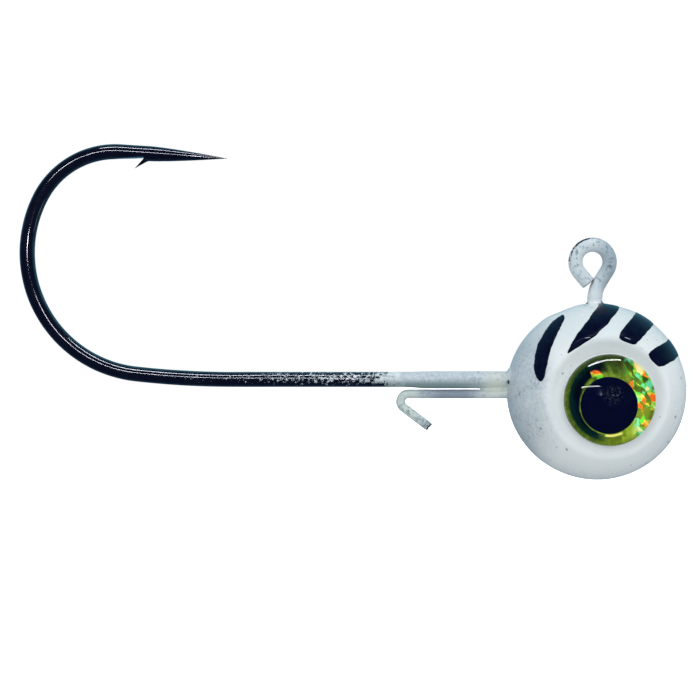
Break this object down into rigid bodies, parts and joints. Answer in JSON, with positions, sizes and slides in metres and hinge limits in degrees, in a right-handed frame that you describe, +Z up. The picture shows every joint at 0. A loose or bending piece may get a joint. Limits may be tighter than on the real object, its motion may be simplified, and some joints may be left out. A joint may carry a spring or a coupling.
{
  "type": "jig head",
  "caption": "Ball-head fishing jig: a jig hook with a painted lead ball, a wire bait keeper, a line eye on top and a domed eye on each side.",
  "frame": {"origin": "centre of the line eye's hole, where the line ties on", "axes": "+X along the shank towards the nose of the head, +Y along the axis of the line eye's hole, to the lure's left, +Z up, from the head to the line eye"},
  "size_m": [0.0458, 0.0118, 0.0231],
  "materials": {
    "black_nickel": "black nickel plating on spring steel, glossy, very dark blue-grey",
    "keeper_wire": "bare steel wire, seen only at its cut end",
    "lead": "cast lead, dull, hidden under the paint",
    "white_paint": "glossy white enamel, thin and speckled over the black wire at its edges",
    "black_paint": "glossy blue-black enamel, laid on by brush",
    "clear_glue": "clear glue, glossy",
    "eye_foil": "yellow-green holographic foil",
    "pupil_ink": "printed black ink",
    "clear_resin": "clear resin drop, polished"
  },
  "bodies": {
    "root": {"hook": "black_nickel", "bait_keeper": "keeper_wire", "lead_head": "lead", "white_coat": "white_paint", "stroke_rear_right": "black_paint", "stroke_rear_left": "black_paint", "stroke_crown": "black_paint", "stroke_brow": "black_paint", "stroke_nose": "black_paint", "eye_glue_right": "clear_glue", "eye_foil_right": "eye_foil", "eye_pupil_right": "pupil_ink", "eye_lens_right": "clear_resin", "eye_glue_left": "clear_glue", "eye_foil_left": "eye_foil", "eye_pupil_left": "pupil_ink", "eye_lens_left": "clear_resin"}
  },
  "joints": []
}
